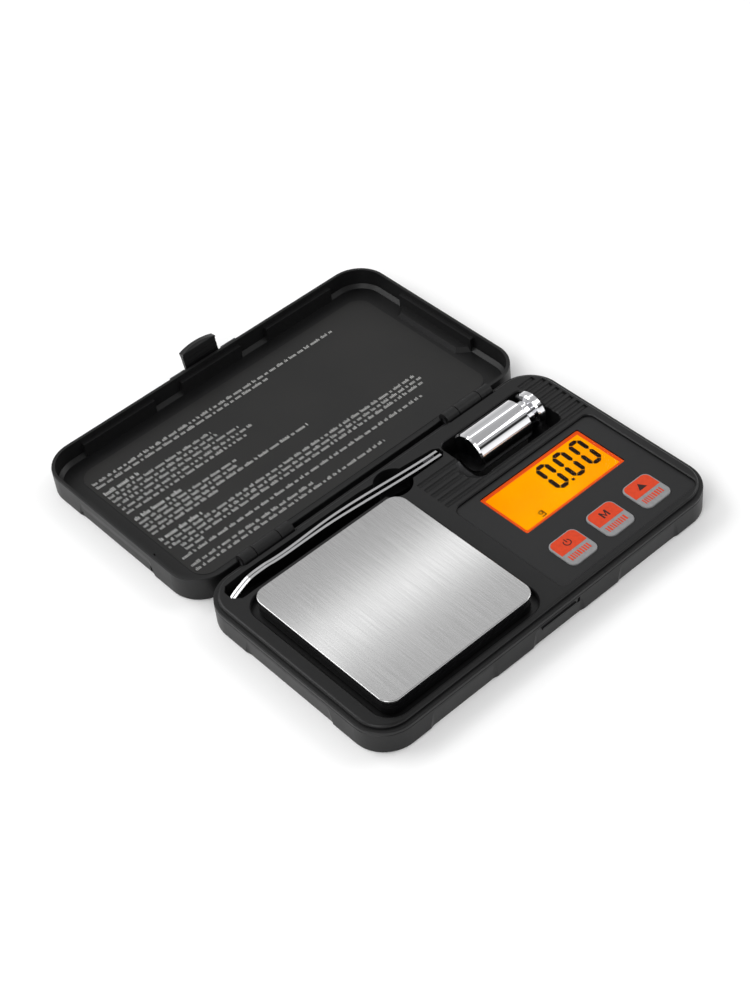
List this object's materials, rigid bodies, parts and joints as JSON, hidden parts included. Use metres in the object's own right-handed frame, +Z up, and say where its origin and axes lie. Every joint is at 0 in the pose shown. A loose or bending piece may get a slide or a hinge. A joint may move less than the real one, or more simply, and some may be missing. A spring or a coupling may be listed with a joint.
{
  "type": "digital gram scale",
  "caption": "Slim pocket gram scale, lid open flat on its hinge, with a brushed steel platform, backlit display, three keys, tweezers and a calibration weight.",
  "frame": {"origin": "middle of the base's footprint, on the plane of its rubber feet", "axes": "+Z up; +X along the hinge towards the display end; +Y from the base towards the open lid"},
  "size_m": [0.127, 0.1538, 0.0145],
  "materials": {
    "case_plastic": "fine satin moulded ABS",
    "deck_plastic": "fine satin moulded ABS",
    "panel_film": "satin black printed film",
    "clear_lens": "clear acrylic window",
    "lcd": "amber backlit liquid-crystal glass",
    "backlight": "emissive amber light guide",
    "board": "green solder mask",
    "chip": "black epoxy",
    "domes": "stamped metal domes",
    "button_caps": "orange-red and grey printed key caps",
    "steel_plate": "brushed stainless steel",
    "tray_plastic": "satin black",
    "beam": "milled",
    "gauge_foil": "polyimide foil",
    "screw_steel": "zinc-plated",
    "lead_insulation": "soft insulation",
    "coin_steel": "stamped nickel-plated steel",
    "contact_metal": "plated spring brass",
    "foot_rubber": "soft black rubber",
    "weight_chrome": "polished chrome plate",
    "foam": "black EVA foam",
    "tweezers_steel": "polished stainless strip",
    "pin_steel": "drawn wire",
    "label_sheet": "satin dark printed sheet",
    "latch_plastic": "satin moulded ABS"
  },
  "bodies": {
    "base": {"base_shell": "case_plastic", "coin_cells": "coin_steel", "battery_contacts": "contact_metal", "rubber_feet": "foot_rubber", "case_screws": "screw_steel", "deck_housing": "deck_plastic", "display_panel": "panel_film", "display_lens": "clear_lens", "lcd_glass": "lcd", "backlight": "backlight", "circuit_board": "board", "controller_chip": "chip", "dome_switches": "domes", "cell_base_screws": "screw_steel", "cell_leads": "lead_insulation", "weight_pad": "foam", "hinge_pins": "pin_steel", "load_cell": "beam", "strain_gauges": "gauge_foil"},
    "cover": {"battery_cover": "case_plastic"},
    "platform": {"platform_plate": "steel_plate", "platform_tray": "tray_plastic", "cell_post_screws": "screw_steel"},
    "key_power": {"button_power": "button_caps"},
    "key_mode": {"button_mode": "button_caps"},
    "key_tare": {"button_tare": "button_caps"},
    "lid": {"lid_shell": "case_plastic", "lid_label": "label_sheet", "latch_pin": "pin_steel"},
    "latch": {"latch": "latch_plastic"},
    "weight": {"calibration_weight": "weight_chrome"},
    "tweezers": {"tweezers_back_arm": "tweezers_steel", "tweezers_heel": "tweezers_steel"},
    "tweezers_arm": {"tweezers_front_arm": "tweezers_steel"}
  },
  "joints": [
    {"name": "lid_hinge", "type": "hinge", "parent": "base", "child": "lid", "pos_m": [0, 0.03775, 0.0082], "axis": [1, 0, 0], "range_deg": [0, 180]},
    {"name": "latch_hinge", "type": "hinge", "parent": "lid", "child": "latch", "pos_m": [0, 0.11365, 0.0055], "axis": [1, 0, 0], "range_deg": [-45, 12]},
    {"name": "platform_press", "type": "slide", "parent": "base", "child": "platform", "axis": [0, 0, -1], "range_m": [0, 0.0004], "stiffness_N_per_m": 6000, "springref_m": -0.0001, "deforming": ["load_cell"]},
    {"name": "power_press", "type": "slide", "parent": "base", "child": "key_power", "axis": [0, 0, -1], "range_m": [0, 0.00035], "stiffness_N_per_m": 1500, "springref_m": -0.0002},
    {"name": "mode_press", "type": "slide", "parent": "base", "child": "key_mode", "axis": [0, 0, -1], "range_m": [0, 0.00035], "stiffness_N_per_m": 1500, "springref_m": -0.0002},
    {"name": "tare_press", "type": "slide", "parent": "base", "child": "key_tare", "axis": [0, 0, -1], "range_m": [0, 0.00035], "stiffness_N_per_m": 1500, "springref_m": -0.0002},
    {"name": "cover_slide", "type": "slide", "parent": "base", "child": "cover", "axis": [1, 0, 0], "range_m": [0, 0.05]},
    {"name": "weight_lift", "type": "slide", "parent": "base", "child": "weight", "axis": [0, 0, 1], "range_m": [0, 0.03]},
    {"name": "tweezers_lift", "type": "slide", "parent": "base", "child": "tweezers", "axis": [0, 0, 1], "range_m": [0, 0.03]},
    {"name": "tweezers_flex", "type": "hinge", "parent": "tweezers", "child": "tweezers_arm", "pos_m": [0.0155, 0.0276, 0.006], "axis": [0, 0, 1], "range_deg": [0, 0.8], "stiffness_Nm_per_rad": 0.4}
  ]
}
